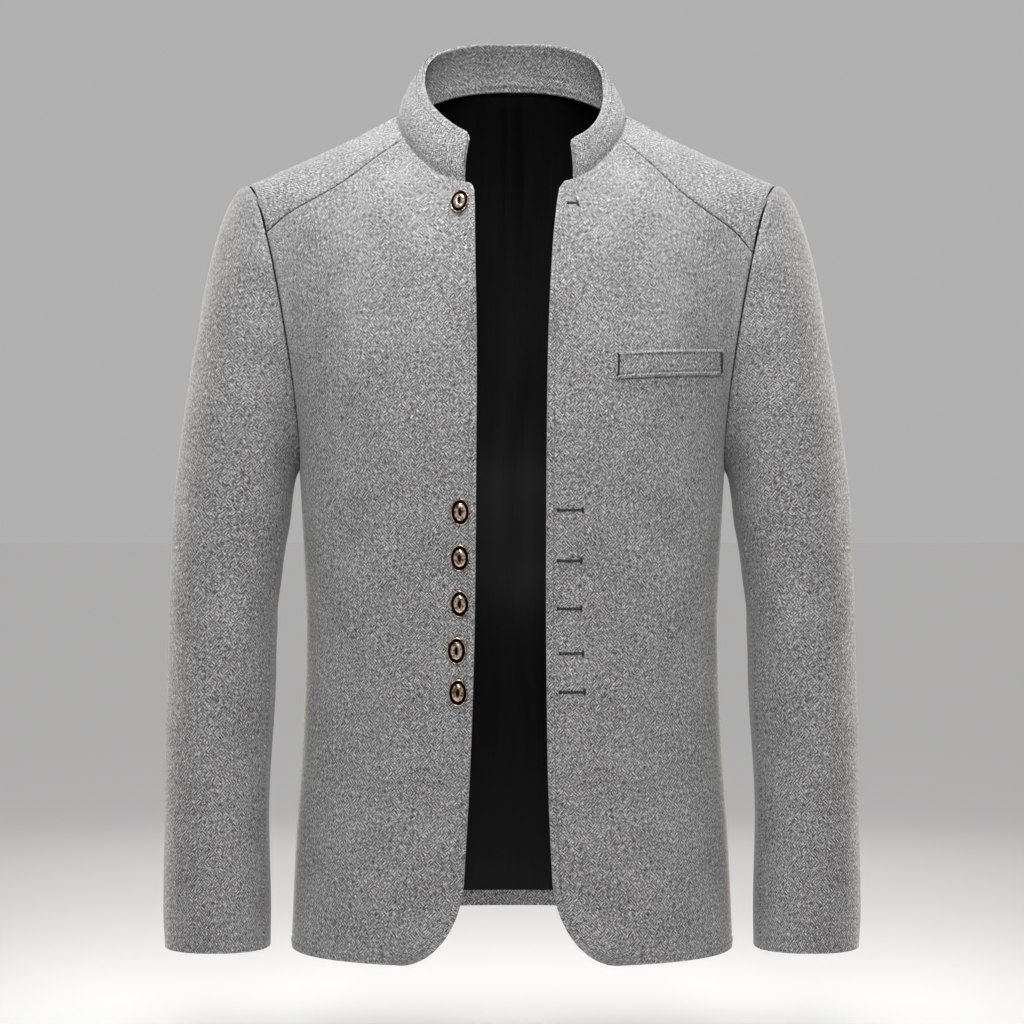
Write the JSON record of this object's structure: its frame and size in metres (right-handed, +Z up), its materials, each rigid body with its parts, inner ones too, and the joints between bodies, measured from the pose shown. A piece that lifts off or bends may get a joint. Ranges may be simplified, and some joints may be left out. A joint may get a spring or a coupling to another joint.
{
  "type": "wool jacket with a stand collar",
  "caption": "Open-fronted long-sleeved wool jacket with a stand collar, shoulder yokes, a welt breast pocket and oval metal buttons, hollow as worn.",
  "frame": {"origin": "midway between the two neck points, where the garment rests on the wearer's shoulders", "axes": "+X to the wearer's left, -Y out of the front, +Z up"},
  "size_m": [0.578, 0.2579, 0.7662],
  "materials": {
    "grey_wool": "brushed grey melange wool",
    "black_satin": "black satin lining",
    "aged_copper": "copper coloured, darkened in the grooves"
  },
  "bodies": {
    "root": {"back": "grey_wool", "front_right": "grey_wool", "front_left": "grey_wool", "yoke_right": "grey_wool", "yoke_left": "grey_wool", "sleeve_top_right": "grey_wool", "sleeve_under_right": "grey_wool", "sleeve_top_left": "grey_wool", "sleeve_under_left": "grey_wool", "collar": "grey_wool", "welt_pocket": "grey_wool", "lining_back": "black_satin", "lining_front_right": "black_satin", "lining_front_left": "black_satin", "button_1": "aged_copper", "button_2": "aged_copper", "button_3": "aged_copper", "button_4": "aged_copper", "button_5": "aged_copper", "button_6": "aged_copper"}
  },
  "joints": []
}
